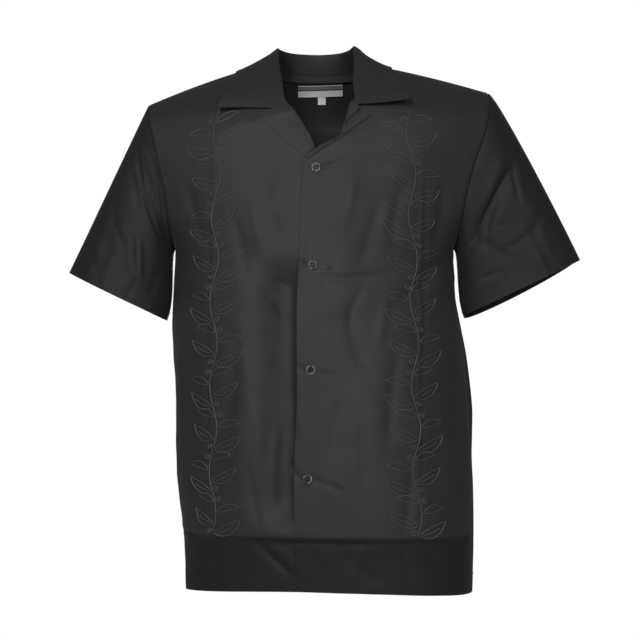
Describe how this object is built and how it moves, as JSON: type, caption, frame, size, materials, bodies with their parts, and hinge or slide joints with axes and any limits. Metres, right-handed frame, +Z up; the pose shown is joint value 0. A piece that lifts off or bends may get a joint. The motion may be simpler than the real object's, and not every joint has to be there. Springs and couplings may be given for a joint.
{
  "type": "short-sleeve shirt",
  "caption": "Short-sleeve buttoned shirt with an open camp collar and a straight hem, filled out as worn and hollow, open at neck, sleeves and hem.",
  "frame": {"origin": "middle of the neck base, level with the points where the shoulder seams meet the neck", "axes": "+Z up from hem to neck, -Y out of the buttoned front, +X to the wearer's left"},
  "size_m": [0.724, 0.2814, 0.7731],
  "materials": {
    "cloth": "matt black woven cotton",
    "facing": "matt black woven cotton",
    "button": "polished smoky resin",
    "label": "silver-grey woven tape"
  },
  "bodies": {
    "root": {"front_right": "cloth", "front_left": "cloth", "back": "cloth", "yoke": "cloth", "sleeve_right": "cloth", "sleeve_left": "cloth", "collar": "cloth", "lapel_right": "facing", "lapel_left": "facing", "button_1": "button", "button_2": "button", "button_3": "button", "button_4": "button", "label": "label", "size_tag": "label"}
  },
  "joints": []
}
